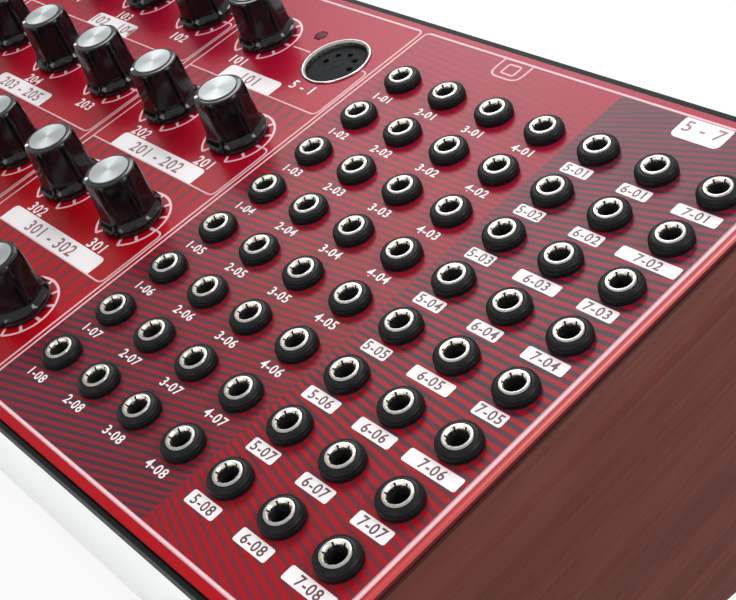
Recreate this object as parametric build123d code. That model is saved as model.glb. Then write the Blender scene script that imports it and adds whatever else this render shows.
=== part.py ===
from build123d import *
import math
import os

os.makedirs("parts", exist_ok=True)

# Sloping front panel, an 80 HP wide and three-unit high plate
panel_width = 406.4
panel_height = 128.5
panel_thickness = 2.0
panel_slope = 15.0

# Black frame that the panel lies in
frame_front_width = 1.2
frame_rear_width = 2.0
frame_side_width = 1.5
frame_thickness = 3.4
frame_ledge_side = 4.0
frame_ledge_front = 6.0
panel_proud = 0.6
panel_gap = 0.3

# Folded sheet case under the frame
front_height = 46.5
sheet = 1.5
rear_plate_thickness = 1.5
rear_flange_width = 9.0
plate_gap = 0.2
foot_height = 3.5
foot_radius = 6.0
foot_inset = 16.0

# Wooden side cheeks
cheek_thickness = 6.5
cheek_drop = 1.1
cheek_edge_radius = 1.0

# Patchbay of threaded sockets, counted from the rear left one
jack_columns = 7
jack_rows = 8
jack_pitch_x = 13.72
jack_from_right = 9.2
jack_front_row = 16.7
jack_from_rear = 18.35
jack_body_width = 9.0
jack_body_gap = 2.85
jack_bushing_radius = 2.95
jack_bushing_top = 2.4
jack_bore_radius = 1.8
jack_bore_depth = 9.0
jack_nut_radius = 4.0
jack_nut_height = 2.1
thread_clearance = 0.05
hole_clearance = 0.1

# Grid of knobs, column 0 at the right beside the patchbay, row 0 at the rear
grid_from_right = 113.4
grid_from_left = 28.4
grid_from_rear = 19.1
grid_front_row = 19.7
knob_radius = 7.0
knob_waist_radius = 6.2
knob_top_radius = 5.6
knob_skirt_height = 3.0
knob_height = 12.5
knob_lift = 0.4
cap_radius = 4.3
cap_thickness = 0.4
shaft_radius = 2.9
shaft_hole_radius = 3.7
shaft_gap = 0.3
pot_width = 9.8
pot_length = 11.0
pot_height = 6.6

# Push buttons with their switches, and the indicator lamps
button_radius = 2.6
button_top = 2.6
button_travel = 1.0
button_clearance = 0.3
switch_width = 6.0
switch_height = 5.6
lamp_radius = 1.5
lamp_top = 0.7
lamp_offset = 9.5
midi_lamp_pitch_share = 0.49
midi_lamp_v = 6.0

# Circuit boards and the posts between them and the case
board_thickness = 1.6
board_depth = 11.0
board_margin_side = 8.0
board_margin_front = 7.5
spacer_radius = 2.6
spacer_inset = 14.0
io_board_width = 330.0
io_board_length = 42.0
io_board_lift = 22.0
io_board_gap = 1.0
io_spacer_inset = 8.0

# Round five-pin sockets, one on the panel and one at the rear
midi_flange_radius = 8.3
midi_flange_height = 0.9
midi_barrel_radius = 7.5
midi_bore_radius = 6.6
midi_insert_radius = 6.5
midi_insert_sink = 0.7

# Rear audio sockets
audio_body_width = 16.0
audio_body_height = 15.0
audio_body_length = 24.0
audio_collar_radius = 6.5
audio_collar_out = 3.0
audio_bore_radius = 3.25
audio_bore_depth = 22.0
audio_count = 3
audio_pitch = 26.0
audio_from_board_edge = 49.0

# Rear data socket, power inlet and power switch
usb_width = 12.0
usb_height = 10.8
usb_length = 16.0
usb_wall = 1.6
usb_bore_depth = 9.0
usb_tongue_width = 5.6
usb_tongue_height = 3.2
usb_tongue_sink = 1.5
usb_out = 0.8
inlet_width = 9.4
inlet_height = 11.0
inlet_length = 14.0
inlet_bore_radius = 3.2
inlet_bore_depth = 9.5
inlet_pin_radius = 1.05
inlet_pin_sink = 1.0
inlet_out = 0.8
midi_from_board_edge = 145.0
usb_from_board_edge = 109.0
inlet_from_board_edge = 71.0
rocker_from_board_edge = 35.0
switch_bezel_width = 15.0
switch_bezel_height = 21.0
switch_bezel_out = 2.0
switch_box_width = 12.6
switch_box_height = 18.6
switch_box_depth = 15.0
rocker_width = 9.0
rocker_height = 14.4
rocker_depth = 8.0
rocker_swell = 1.4
rocker_tilt = 8.0
rocker_gap = 0.35
rocker_pocket_depth = 10.5
rocker_pivot_radius = 1.0
rocker_pivot_sink = 5.5
rocker_pivot_length = 1.2
pivot_clearance = 0.08

# Machine screws
screw_radius = 1.5
screw_head_radius = 2.75
screw_head_height = 1.6
screw_clearance = 0.1
panel_screw_side = 7.5
panel_screw_front = 3.0
plate_screw_length = 6.0
cheek_screw_length = 6.0
cheek_screw_low = 20.0
cheek_screw_high = 44.0
cheek_screw_front = 34.0
cheek_screw_rear = 18.0

# Overrun of every cut, and how many flats stand for the round forms
overrun = 1.0
small_flat_count = 6
round_flat_count = 8
socket_flat_count = 10

# Cells of the grid, as columns from the right, that hold a knob or a button in each row
knob_cells = (
    (1, 2, 3, 4, 5.5, 8, 10.5),
    (0, 1, 2, 3, 4, 5.5, 8, 10.5),
    (0, 1, 2, 3, 4, 5.5, 8, 10.5),
    (0, 1, 2, 3, 4),
)
button_cells = ((6.75, 9.25), (6.75, 9.25), (6.75, 9.25), ())
midi_cell = (0, 0)

# Derived places of the panel, the case and the rear wall
grid_pitch_x = (panel_width - grid_from_right - grid_from_left) / max(max(row) for row in knob_cells)
grid_pitch_v = (panel_height - grid_from_rear - grid_front_row) / (len(knob_cells) - 1)
jack_pitch_v = (panel_height - jack_from_rear - jack_front_row) / (jack_rows - 1)
jack_body_length = jack_pitch_v - jack_body_gap
slope_cos = math.cos(math.radians(panel_slope))
slope_sin = math.sin(math.radians(panel_slope))
cheek_rear_lip = frame_rear_width * slope_cos
frame_top = -panel_proud
ledge_top = -panel_thickness
frame_bottom = frame_top - frame_thickness
case_width = panel_width + 2 * frame_side_width
case_inner_width = case_width - 2 * sheet
rocker_tilt_cos = math.cos(math.radians(rocker_tilt))
rocker_tilt_sin = math.sin(math.radians(rocker_tilt))
rocker_rise = rocker_pivot_sink + rocker_swell
rocker_tip_out = rocker_rise * rocker_tilt_cos + rocker_height / 2 * rocker_tilt_sin
rear_out = max(audio_collar_out, cheek_rear_lip, switch_bezel_out - rocker_pivot_sink + rocker_tip_out)
panel_run = panel_height * slope_cos - frame_bottom * slope_sin
depth = frame_front_width * slope_cos + panel_run + rear_out
panel_front_y = frame_front_width * slope_cos - depth / 2
panel_front_z = foot_height + front_height * slope_cos
rear_y = panel_front_y + panel_run
case_top_rear_z = panel_front_z + panel_height * slope_sin + frame_bottom * slope_cos
board_top = -board_depth
board_bottom = board_top - board_thickness
midi_depth = board_depth
io_board_top = foot_height + sheet + io_board_lift + board_thickness
rear_inner_y = rear_y - rear_plate_thickness
midi_rear_x = io_board_width / 2 - midi_from_board_edge
usb_x = io_board_width / 2 - usb_from_board_edge
inlet_x = io_board_width / 2 - inlet_from_board_edge
rocker_x = io_board_width / 2 - rocker_from_board_edge

panel_frame = Plane(
    origin=(0, panel_front_y, panel_front_z),
    x_dir=(1, 0, 0),
    z_dir=(0, -slope_sin, slope_cos),
)


def on_panel(shape):
    """Carry a shape from the panel's own frame (X, up the slope, outwards) to the whole part's."""
    return panel_frame.location * shape


def at_rear(shape, x, z):
    """Turn a shape that points up so that it points backwards, out of the rear wall."""
    return Location((x, rear_y, z), (-90, 0, 0)) * shape


def side_point(v, n):
    """Place of a point of the panel's frame in the side view of the whole part."""
    return (panel_front_y + v * slope_cos - n * slope_sin, panel_front_z + v * slope_sin + n * slope_cos)


def side_slab(points, low_x, high_x):
    """Plate that fills a side-view outline between two places across the part."""
    outline = [(low_x, y, z) for y, z in points]
    return extrude(make_face(Polyline(*outline, close=True)), high_x - low_x, dir=(1, 0, 0))


def prism(radius, flats, low, high):
    """Upright prism, its flats at the given radius."""
    return extrude(Pos(0, 0, low) * RegularPolygon(radius, flats, major_radius=False), high - low)


def taper(radius_low, radius_high, flats, low, high):
    """Upright prism that narrows from one radius to another."""
    lean = math.degrees(math.atan2(radius_low - radius_high, high - low))
    foot = Pos(0, 0, low) * RegularPolygon(radius_low, flats, major_radius=False)
    return extrude(foot, high - low, taper=lean)


def block(width, length, low, high):
    """Box about the vertical axis between two heights."""
    return Pos(0, 0, low) * Box(width, length, high - low, align=(Align.CENTER, Align.CENTER, Align.MIN))


def export(name, solids):
    """Write one sub-part."""
    export_step(Compound(children=list(solids)), f"parts/{name}.step")


def jack_places():
    """Centres of the patchbay sockets."""
    right = panel_width / 2 - jack_from_right
    return [
        (right - (jack_columns - 1 - i) * jack_pitch_x, jack_front_row + j * jack_pitch_v)
        for i in range(jack_columns)
        for j in range(jack_rows)
    ]


def cell_place(column, row):
    """Centre of one cell of the knob grid."""
    x = panel_width / 2 - grid_from_right - column * grid_pitch_x
    return (x, panel_height - grid_from_rear - row * grid_pitch_v)


def cells(table):
    """Centres of all the cells that a table of rows names."""
    return [cell_place(column, row) for row, columns in enumerate(table) for column in columns]


def lamp_places():
    """Centres of the indicator lamps: one behind each button and one beside the round socket."""
    midi_x, midi_v = cell_place(*midi_cell)
    beside_buttons = [(x, v + lamp_offset) for x, v in cells(button_cells)]
    return beside_buttons + [(midi_x - midi_lamp_pitch_share * grid_pitch_x, midi_v + midi_lamp_v)]


def panel_screw_places():
    """Centres of the screws at the panel's corners."""
    x = panel_width / 2 - panel_screw_side
    return [(side * x, v) for side in (-1, 1) for v in (panel_screw_front, panel_height - panel_screw_front)]


def plate_screw_places():
    """Centres of the rear plate's screws across and up the rear wall."""
    x = case_inner_width / 2 - rear_flange_width / 2
    low = foot_height + sheet + rear_flange_width
    high = case_top_rear_z - rear_flange_width
    return [(side * x, z) for side in (-1, 1) for z in (low, high)]


def cheek_screw_places():
    """Centres of each cheek's screws in the side view."""
    front = panel_front_y + cheek_screw_front
    rear = rear_y - cheek_screw_rear
    return [(front, foot_height + cheek_screw_low), (rear, foot_height + cheek_screw_high)]


def panel_spacer_places():
    """Centres of the posts between the panel and its board."""
    left = board_margin_side + spacer_inset - panel_width / 2
    middle = cell_place(6, 0)[0]
    rear = panel_height - board_margin_front - spacer_radius
    front = board_margin_front + spacer_radius
    return [(left, rear), (left, front), (middle, rear), (middle, front)]


def socket_xs():
    """Places of the audio sockets across the rear wall."""
    first = audio_from_board_edge - io_board_width / 2
    return [first + i * audio_pitch for i in range(audio_count)]


def screw(length):
    """Machine screw, its head on the plane and its shank below."""
    shank = prism(screw_radius, small_flat_count, -length, 0)
    return prism(screw_head_radius, small_flat_count, 0, screw_head_height) + shank


def screw_hole(low, high):
    """Clearance hole of a screw between two heights, as a solid."""
    return prism(screw_radius + screw_clearance, small_flat_count, low, high)


def front_panel():
    """Sloping panel with a hole for every socket, shaft, button, lamp and screw."""
    middle = Pos(0, panel_height / 2)
    shaft_hole = RegularPolygon(shaft_hole_radius, small_flat_count, major_radius=False)
    jack_hole = RegularPolygon(jack_bushing_radius + hole_clearance, small_flat_count, major_radius=False)
    button_hole = RegularPolygon(button_radius + button_clearance, round_flat_count, major_radius=False)
    lamp_hole = RegularPolygon(lamp_radius + hole_clearance, small_flat_count, major_radius=False)
    midi_hole = RegularPolygon(midi_barrel_radius + hole_clearance, socket_flat_count, major_radius=False)
    screw_hole = RegularPolygon(screw_radius + screw_clearance, small_flat_count, major_radius=False)
    holes = [Pos(*place) * jack_hole for place in jack_places()]
    holes += [Pos(*place) * shaft_hole for place in cells(knob_cells)]
    holes += [Pos(*place) * button_hole for place in cells(button_cells)]
    holes += [Pos(*place) * lamp_hole for place in lamp_places()]
    holes += [Pos(*place) * screw_hole for place in panel_screw_places()]
    holes.append(Pos(*cell_place(*midi_cell)) * midi_hole)
    face = middle * Rectangle(panel_width, panel_height) - holes
    return on_panel(extrude(face, -panel_thickness))


def top_frame():
    """Black frame with a ledge under the panel's edge."""
    middle = Pos(0, panel_height / 2)
    outer_height = frame_front_width + panel_height + frame_rear_width
    outer = Pos(0, outer_height / 2 - frame_front_width) * Rectangle(case_width, outer_height)
    seat = middle * Rectangle(panel_width + 2 * panel_gap, panel_height + 2 * panel_gap)
    opening_width = panel_width - 2 * frame_ledge_side
    opening = middle * Rectangle(opening_width, panel_height - 2 * frame_ledge_front)
    screw_hole = RegularPolygon(screw_radius + screw_clearance, small_flat_count, major_radius=False)
    holes = [Pos(*place) * screw_hole for place in panel_screw_places()]
    rim = extrude(Pos(0, 0, frame_top) * (outer - seat), ledge_top - frame_top)
    ledge = extrude(Pos(0, 0, ledge_top) * (outer - opening - holes), frame_bottom - ledge_top)
    return on_panel(rim + ledge)


def lower_case():
    """Folded sheet case: front wall square to the panel, floor, sides, and a flange for the rear plate."""
    floor_z = foot_height
    outer = [side_point(0, frame_bottom), side_point(0, -front_height)]
    outer += [(rear_y, floor_z), (rear_y, case_top_rear_z)]
    shell = side_slab(outer, -case_width / 2, case_width / 2)
    flange_y = rear_inner_y - sheet
    floor_top = floor_z + sheet
    inner_bottom_n = (floor_top - panel_front_z - sheet * slope_sin) / slope_cos
    front_low = side_point(sheet, inner_bottom_n)
    front_high = side_point(sheet, overrun)
    sky = case_top_rear_z + overrun
    cavity = [front_high, front_low, (flange_y, floor_top), (flange_y, sky), (front_high[0], sky)]
    shell -= side_slab(cavity, -case_inner_width / 2, case_inner_width / 2)
    mouth_low = floor_top + rear_flange_width
    mouth = [(flange_y - overrun, mouth_low), (rear_y + overrun, mouth_low)]
    mouth += [(rear_y + overrun, sky), (flange_y - overrun, sky)]
    mouth_width = case_inner_width - 2 * rear_flange_width
    shell -= side_slab(mouth, -mouth_width / 2, mouth_width / 2)
    seat = [(rear_inner_y, floor_top), (rear_y + overrun, floor_top)]
    seat += [(rear_y + overrun, sky), (rear_inner_y, sky)]
    shell -= side_slab(seat, -case_inner_width / 2, case_inner_width / 2)
    for x, z in plate_screw_places():
        shell -= at_rear(screw_hole(-plate_screw_length, overrun), x, z)
    reach = case_width / 2 + overrun
    for y, z in cheek_screw_places():
        shell -= Location((0, y, z), (0, 90, 0)) * screw_hole(-reach, reach)
    return shell


def rear_plate():
    """Rear wall with the cut-outs of the sockets and the switch."""
    low = foot_height + sheet + plate_gap
    high = case_top_rear_z - rear_plate_thickness * slope_sin / slope_cos - plate_gap
    width = case_inner_width - 2 * plate_gap
    plate = Pos(0, rear_y - rear_plate_thickness / 2) * block(width, rear_plate_thickness, low, high)
    cut_low = -rear_plate_thickness - overrun
    for x in socket_xs():
        hole = prism(audio_collar_radius + hole_clearance, socket_flat_count, cut_low, overrun)
        plate -= at_rear(hole, x, audio_axis_z())
    midi_hole = prism(midi_barrel_radius + hole_clearance, socket_flat_count, cut_low, overrun)
    plate -= at_rear(midi_hole, midi_rear_x, midi_axis_z())
    usb_hole = block(usb_width + 2 * plate_gap, usb_height + 2 * plate_gap, cut_low, overrun)
    plate -= at_rear(usb_hole, usb_x, io_board_top + usb_height / 2)
    inlet_hole = block(inlet_width + 2 * plate_gap, inlet_height + 2 * plate_gap, cut_low, overrun)
    plate -= at_rear(inlet_hole, inlet_x, io_board_top + inlet_height / 2)
    switch_hole = block(switch_box_width + 2 * plate_gap, switch_box_height + 2 * plate_gap, cut_low, overrun)
    plate -= at_rear(switch_hole, rocker_x, rocker_axis_z())
    for x, z in plate_screw_places():
        plate -= at_rear(screw_hole(cut_low, overrun), x, z)
    return plate


def cheek(side):
    """Wooden side cheek, its outer edges rounded, with blind holes for the screws that come from inside."""
    inner = case_width / 2
    outer = inner + cheek_thickness
    top_front = side_point(-frame_front_width, 0)
    low_n = (frame_front_width * slope_sin - cheek_drop) / slope_cos - front_height
    low_front = side_point(-frame_front_width, low_n)
    rear = rear_y + cheek_rear_lip
    top_rear_v = (rear - panel_front_y) / slope_cos
    top_rear = side_point(top_rear_v, 0)
    low_rear = (rear, foot_height - cheek_drop)
    wood = side_slab([top_front, low_front, low_rear, top_rear], inner, outer)
    wood = fillet(wood.faces().sort_by(Axis.X)[-1].edges(), cheek_edge_radius)
    for y, z in cheek_screw_places():
        tip = inner - sheet + cheek_screw_length + screw_clearance
        wood -= Location((0, y, z), (0, 90, 0)) * screw_hole(inner - overrun, tip)
    return wood if side > 0 else mirror(wood, about=Plane.YZ)


def case_screws():
    """Screws of the panel, of the rear plate and, from inside the case, of the cheeks."""
    panel_screw = screw(-frame_bottom)
    plate_screw = screw(plate_screw_length)
    cheek_screw = screw(cheek_screw_length)
    inner = case_inner_width / 2
    group = [on_panel(Pos(x, v) * panel_screw) for x, v in panel_screw_places()]
    group += [at_rear(plate_screw, x, z) for x, z in plate_screw_places()]
    for y, z in cheek_screw_places():
        group.append(Location((inner, y, z), (0, -90, 0)) * cheek_screw)
        group.append(Location((-inner, y, z), (0, 90, 0)) * cheek_screw)
    return group


def rubber_feet():
    """Four round feet under the case."""
    front = side_point(0, -front_height)[0] + foot_inset
    foot = prism(foot_radius, round_flat_count, 0, foot_height)
    x = case_width / 2 - foot_inset
    return [Pos(side * x, y) * foot for side in (-1, 1) for y in (front, rear_y - foot_inset)]


def patch_jack():
    """Patchbay socket: moulded body under the panel and threaded bushing with the plug's bore."""
    body = block(jack_body_width, jack_body_length, board_top, -panel_thickness)
    bushing = prism(jack_bushing_radius, small_flat_count, -panel_thickness, jack_bushing_top)
    bore_low = jack_bushing_top - jack_bore_depth
    return body + bushing - prism(jack_bore_radius, small_flat_count, bore_low, jack_bushing_top + overrun)


def jack_nut():
    """Round nut on the bushing of a patchbay socket."""
    ring = prism(jack_nut_radius, small_flat_count, 0, jack_nut_height)
    thread_radius = jack_bushing_radius + thread_clearance
    return ring - prism(thread_radius, small_flat_count, -overrun, jack_nut_height + overrun)


def potentiometer():
    """Body of a rotary control on the board, under its shaft."""
    return block(pot_width, pot_length, board_top, board_top + pot_height)


def knob():
    """Fluted knob with its flared skirt, its cap inlay, and the shaft that it is pressed on."""
    waist = knob_lift + knob_skirt_height
    top = knob_lift + knob_height
    body = taper(knob_radius, knob_waist_radius, round_flat_count, knob_lift, waist)
    body += taper(knob_waist_radius, knob_top_radius, round_flat_count, waist, top)
    cap = prism(cap_radius, round_flat_count, top, top + cap_thickness)
    shaft = prism(shaft_radius, small_flat_count, board_top + pot_height + shaft_gap, knob_lift)
    return [body, cap, shaft]


def button():
    """Push button, a cap that runs in the panel's hole over its switch."""
    low = board_top + switch_height + button_travel + button_clearance
    return prism(button_radius, round_flat_count, low, button_top)


def button_switch():
    """Switch body on the board under a button."""
    return block(switch_width, switch_width, board_top, board_top + switch_height)


def lamp():
    """Indicator lamp that stands on the board and shows in the panel's hole."""
    return prism(lamp_radius, small_flat_count, board_top, lamp_top)


def panel_board():
    """Board behind the panel that carries the sockets, controls, switches and lamps."""
    width = panel_width - 2 * board_margin_side
    board = Rectangle(width, panel_height - 2 * board_margin_front)
    return on_panel(extrude(Pos(0, panel_height / 2, board_top) * board, -board_thickness))


def board_spacers():
    """Posts between the panel and its board, and between the floor and the rear board."""
    panel_post = prism(spacer_radius, small_flat_count, board_top, -panel_thickness)
    group = [on_panel(Pos(*place) * panel_post) for place in panel_spacer_places()]
    floor_post = prism(spacer_radius, small_flat_count, foot_height + sheet, io_board_top - board_thickness)
    x = io_board_width / 2 - io_spacer_inset
    rear = rear_inner_y - sheet - io_board_gap - io_spacer_inset
    front = rear_inner_y - sheet - io_board_gap - io_board_length + io_spacer_inset
    return group + [Pos(side * x, y) * floor_post for side in (-1, 1) for y in (front, rear)]


def io_board():
    """Board that carries the rear sockets."""
    rear = rear_inner_y - sheet - io_board_gap
    middle = rear - io_board_length / 2
    low = io_board_top - board_thickness
    return Pos(0, middle) * block(io_board_width, io_board_length, low, io_board_top)


def audio_axis_z():
    """Height of the audio sockets' axes."""
    return io_board_top + audio_body_height / 2


def midi_axis_z():
    """Height of the rear round socket's axis."""
    return io_board_top + midi_flange_radius


def rocker_axis_z():
    """Height of the middle of the power switch."""
    return io_board_top + switch_bezel_height / 2


def audio_socket():
    """Rear audio socket, pointing up: moulded body, round collar through the plate, and the plug's bore."""
    body_low = -rear_plate_thickness - audio_body_length
    body = block(audio_body_width, audio_body_height, body_low, -rear_plate_thickness)
    collar = prism(audio_collar_radius, socket_flat_count, -rear_plate_thickness, audio_collar_out)
    bore_low = audio_collar_out - audio_bore_depth
    return body + collar - prism(audio_bore_radius, socket_flat_count, bore_low, audio_collar_out + overrun)


def midi_shell():
    """Metal shell of a round socket: flange on the wall and barrel behind it."""
    flange = prism(midi_flange_radius, socket_flat_count, 0, midi_flange_height)
    barrel = prism(midi_barrel_radius, socket_flat_count, -midi_depth, 0)
    bore = prism(midi_bore_radius, socket_flat_count, -midi_depth - overrun, midi_flange_height + overrun)
    return flange + barrel - bore


def midi_insert():
    """Moulded insert inside the shell of a round socket."""
    return prism(midi_insert_radius, socket_flat_count, -midi_depth, midi_flange_height - midi_insert_sink)


def usb_socket():
    """Rear data socket, pointing up: shell with a square mouth and the contact tongue in it."""
    shell = block(usb_width, usb_height, usb_out - usb_length, usb_out)
    mouth_low = usb_out - usb_bore_depth
    shell -= block(usb_width - 2 * usb_wall, usb_height - 2 * usb_wall, mouth_low, usb_out + overrun)
    return shell + block(usb_tongue_width, usb_tongue_height, mouth_low, usb_out - usb_tongue_sink)


def power_inlet():
    """Low-voltage inlet, pointing up: moulded body with a round mouth and its centre pin."""
    body = block(inlet_width, inlet_height, inlet_out - inlet_length, inlet_out)
    mouth_low = inlet_out - inlet_bore_depth
    body -= prism(inlet_bore_radius, socket_flat_count, mouth_low, inlet_out + overrun)
    return body + prism(inlet_pin_radius, small_flat_count, mouth_low, inlet_out - inlet_pin_sink)


def power_switch():
    """Housing of the power switch, pointing up: bezel on the plate, box behind, pocket for the rocker."""
    body = block(switch_bezel_width, switch_bezel_height, 0, switch_bezel_out)
    body += block(switch_box_width, switch_box_height, -switch_box_depth, 0)
    pocket_width = rocker_width + 2 * rocker_gap
    reach = rocker_height / 2 * rocker_tilt_cos + rocker_rise * rocker_tilt_sin
    pocket_low = switch_bezel_out - rocker_pocket_depth
    body -= block(pocket_width, 2 * (reach + rocker_gap), pocket_low, switch_bezel_out + overrun)
    half = rocker_width / 2 + rocker_pivot_length + rocker_gap
    hole_radius = rocker_pivot_radius / math.cos(math.pi / round_flat_count) + pivot_clearance
    hole = prism(hole_radius, round_flat_count, -half, half)
    return body - Pos(0, 0, switch_bezel_out - rocker_pivot_sink) * Rotation(0, 90, 0) * hole


def power_rocker():
    """Rocker of the power switch, pointing up and tipped to one side, with its two pivot stubs."""
    half = rocker_height / 2
    low = -rocker_depth / 4
    middle = rocker_pivot_sink - rocker_swell / 2
    narrow_share = 0.45
    outline = [(-narrow_share * half, low), (narrow_share * half, low), (half, middle)]
    outline += [(half, rocker_rise), (0, middle), (-half, rocker_rise), (-half, middle)]
    body = side_slab(outline, -rocker_width / 2, rocker_width / 2)
    reach = rocker_width / 2 + rocker_pivot_length
    body += Rotation(0, 90, 0) * prism(rocker_pivot_radius, round_flat_count, -reach, reach)
    tipped = Rotation(rocker_tilt, 0, 0) * body
    return Pos(0, 0, switch_bezel_out - rocker_pivot_sink) * tipped


def build():
    """Write every sub-part."""
    export("front_panel", [front_panel()])
    export("top_frame", [top_frame()])
    export("lower_case", [lower_case()])
    export("rear_plate", [rear_plate()])
    export("cheek_left", [cheek(-1)])
    export("cheek_right", [cheek(1)])
    export("case_screws", case_screws())
    export("rubber_feet", rubber_feet())
    jack = patch_jack()
    export("patch_jacks", [on_panel(Pos(*place) * jack) for place in jack_places()])
    nut = jack_nut()
    export("jack_nuts", [on_panel(Pos(*place) * nut) for place in jack_places()])
    pot = potentiometer()
    export("potentiometers", [on_panel(Pos(*place) * pot) for place in cells(knob_cells)])
    switch = button_switch()
    export("button_switches", [on_panel(Pos(*place) * switch) for place in cells(button_cells)])
    light = lamp()
    export("indicator_lamps", [on_panel(Pos(*place) * light) for place in lamp_places()])
    export("panel_board", [panel_board()])
    export("board_spacers", board_spacers())
    export("io_board", [io_board()])
    panel_midi = Pos(*cell_place(*midi_cell))
    for name, piece in (("midi_shells", midi_shell()), ("midi_inserts", midi_insert())):
        export(name, [on_panel(panel_midi * piece), at_rear(piece, midi_rear_x, midi_axis_z())])
    socket = audio_socket()
    export("audio_sockets", [at_rear(socket, x, audio_axis_z()) for x in socket_xs()])
    export("usb_socket", [at_rear(usb_socket(), usb_x, io_board_top + usb_height / 2)])
    export("power_inlet", [at_rear(power_inlet(), inlet_x, io_board_top + inlet_height / 2)])
    export("power_switch", [at_rear(power_switch(), rocker_x, rocker_axis_z())])
    export("power_rocker", [at_rear(power_rocker(), rocker_x, rocker_axis_z())])
    cap = button()
    for number, place in enumerate(cells(button_cells), 1):
        export(f"button_{number}", [on_panel(Pos(*place) * cap)])
    turned = knob()
    for number, place in enumerate(cells(knob_cells), 1):
        export(f"knob_{number:02d}", [on_panel(Pos(*place) * piece) for piece in turned])


build()
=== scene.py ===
import math

import bmesh
import bpy
from mathutils import Matrix, Vector


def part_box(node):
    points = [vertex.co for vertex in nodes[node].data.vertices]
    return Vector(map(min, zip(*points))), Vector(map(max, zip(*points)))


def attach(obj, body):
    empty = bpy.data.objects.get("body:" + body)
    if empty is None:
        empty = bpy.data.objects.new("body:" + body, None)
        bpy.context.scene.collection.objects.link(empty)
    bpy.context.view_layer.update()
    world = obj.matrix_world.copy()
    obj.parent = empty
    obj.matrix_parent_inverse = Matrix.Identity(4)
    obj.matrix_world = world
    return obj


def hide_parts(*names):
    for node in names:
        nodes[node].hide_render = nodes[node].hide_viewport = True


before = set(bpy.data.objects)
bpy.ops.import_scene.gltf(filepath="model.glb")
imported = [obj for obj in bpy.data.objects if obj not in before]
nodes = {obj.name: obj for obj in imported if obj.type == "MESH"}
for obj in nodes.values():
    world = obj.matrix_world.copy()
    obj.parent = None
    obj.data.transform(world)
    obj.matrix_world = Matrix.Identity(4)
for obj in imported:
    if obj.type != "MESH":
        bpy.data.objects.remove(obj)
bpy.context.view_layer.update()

mm = 0.001
tiny = 1e-6

# Panel: its slope, thickness and the places on it, in millimetres of its own frame
# (X to the right, V up the slope, N out)
slope = math.radians(15.0)
panel_width = 406.4
panel_height = 128.5
panel_thickness = 2.0
grid_from_right = 113.4
grid_pitch_x = 25.2
grid_from_rear = 19.1
grid_pitch_v = 29.9
knob_cells = (
    (1, 2, 3, 4, 5.5, 8, 10.5),
    (0, 1, 2, 3, 4, 5.5, 8, 10.5),
    (0, 1, 2, 3, 4, 5.5, 8, 10.5),
    (0, 1, 2, 3, 4),
)
button_cells = ((6.75, 9.25), (6.75, 9.25), (6.75, 9.25), ())
button_lamp_rise = 9.5
socket_lamp_side_share = 0.49
socket_lamp_rise = 6.0
panel_screw_side = 7.5
panel_screw_edge = 3.0
jack_columns = 7
jack_rows = 8
jack_pitch_x = 13.72
jack_pitch_v = 13.35
jack_from_right = 9.2
jack_front_row = 16.7
input_columns = 4

# Printing on the panel
ink_lift = 0.02
text_lift = 0.035
overprint_lift = 0.001
ink_thickness_share = 0.03
border_width = 0.8
side_line_width = 1.05
border_front = 2.1
border_side = 2.15
border_rear = 2.0
divider_width = 0.6
section_line_width = 0.5
border_corner = 1.6
border_inset = 1.0
patchbay_left = 102.7
patchbay_gap = 1.25
zone_split = 159.2
block_edges = (1.5, 4.6, 7.35, 9.85, 11.52)
block_inset = 1.1
block_gap = 2.2
section_line_inset = 0.75
section_line_reach = 2.9
socket_line_from_knob = 9.5
socket_line_from_socket = 9.4
input_tab_left = 127.4
input_tab_right = 135.4
input_tab_depth = 5.9
input_tab_corner = 2.4
input_mark_left = 129.7
input_mark_right = 133.2
input_mark_low = 4.5
input_mark_high = 1.4
input_mark_corner = 0.6
output_tab_place = 180.4
output_tab_width = 10.9
output_tab_depth = 6.4
output_tab_drop = 3.0
output_tab_corner = 1.3
section_spans = (
    (0.62, 19.5, 0), (0.53, 32.0, 1), (0.52, 37.5, 2),
    (3.0, 19.0, 0), (3.0, 25.0, 1), (3.0, 30.0, 2),
    (6.1, 22.0, 0), (6.1, 28.0, 1), (6.1, 26.0, 2),
    (8.6, 20.0, 0), (8.6, 26.0, 1), (8.6, 24.0, 2),
    (10.6, 18.0, 1), (10.6, 18.0, 2),
)
section_drop = 16.5
section_plate_depth = 5.0
section_plate_corner = 1.2
section_foot_depth = 1.6
section_label_rise = 2.3
label_drop = 6.0
label_shift = -0.45
label_height = 2.0
label_lead = 0.1
plate_height = 2.85
plate_corner = 0.45
section_label_height = 3.1
digit_height_share = 0.7
digit_weight_share = 0.024
tab_label_height = 3.0
tab_label_drop = 2.8
socket_label_drop = 10.6
knob_label_drop = 10.0
knob_label_height = 2.7
scale_radius = 8.4
scale_width = 0.55
scale_drop = 0.15
tick_length = 1.9
tick_width = 0.7
tick_count = 11
scale_turn = math.radians(300.0)
scale_slack = 1e-3

# Stripes of the patchbay: the point that the rays of a fan leave, the side that they run to,
# the rise from one stripe to the next and the start of their count
input_fan = ((410.0, 94.9), -1.0, 0.006018, -0.278)
output_fan = ((17.2, 56.8), 1.0, 0.010646, 0.04)
stripes_left = 103.0
stripes_right = 200.9
stripes_front = 2.4
stripes_rear = 126.6

# Bars of the knob field
bar_pitch = 3.6
bar_share = 0.36
bar_foot = 3.0
bars_left = -200.0
bars_right = 101.0
bars_front = 2.8
bars_rear = 92.3

# How far the floor shows as plain white where it is looked at
floor_glow_share = 0.86

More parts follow.
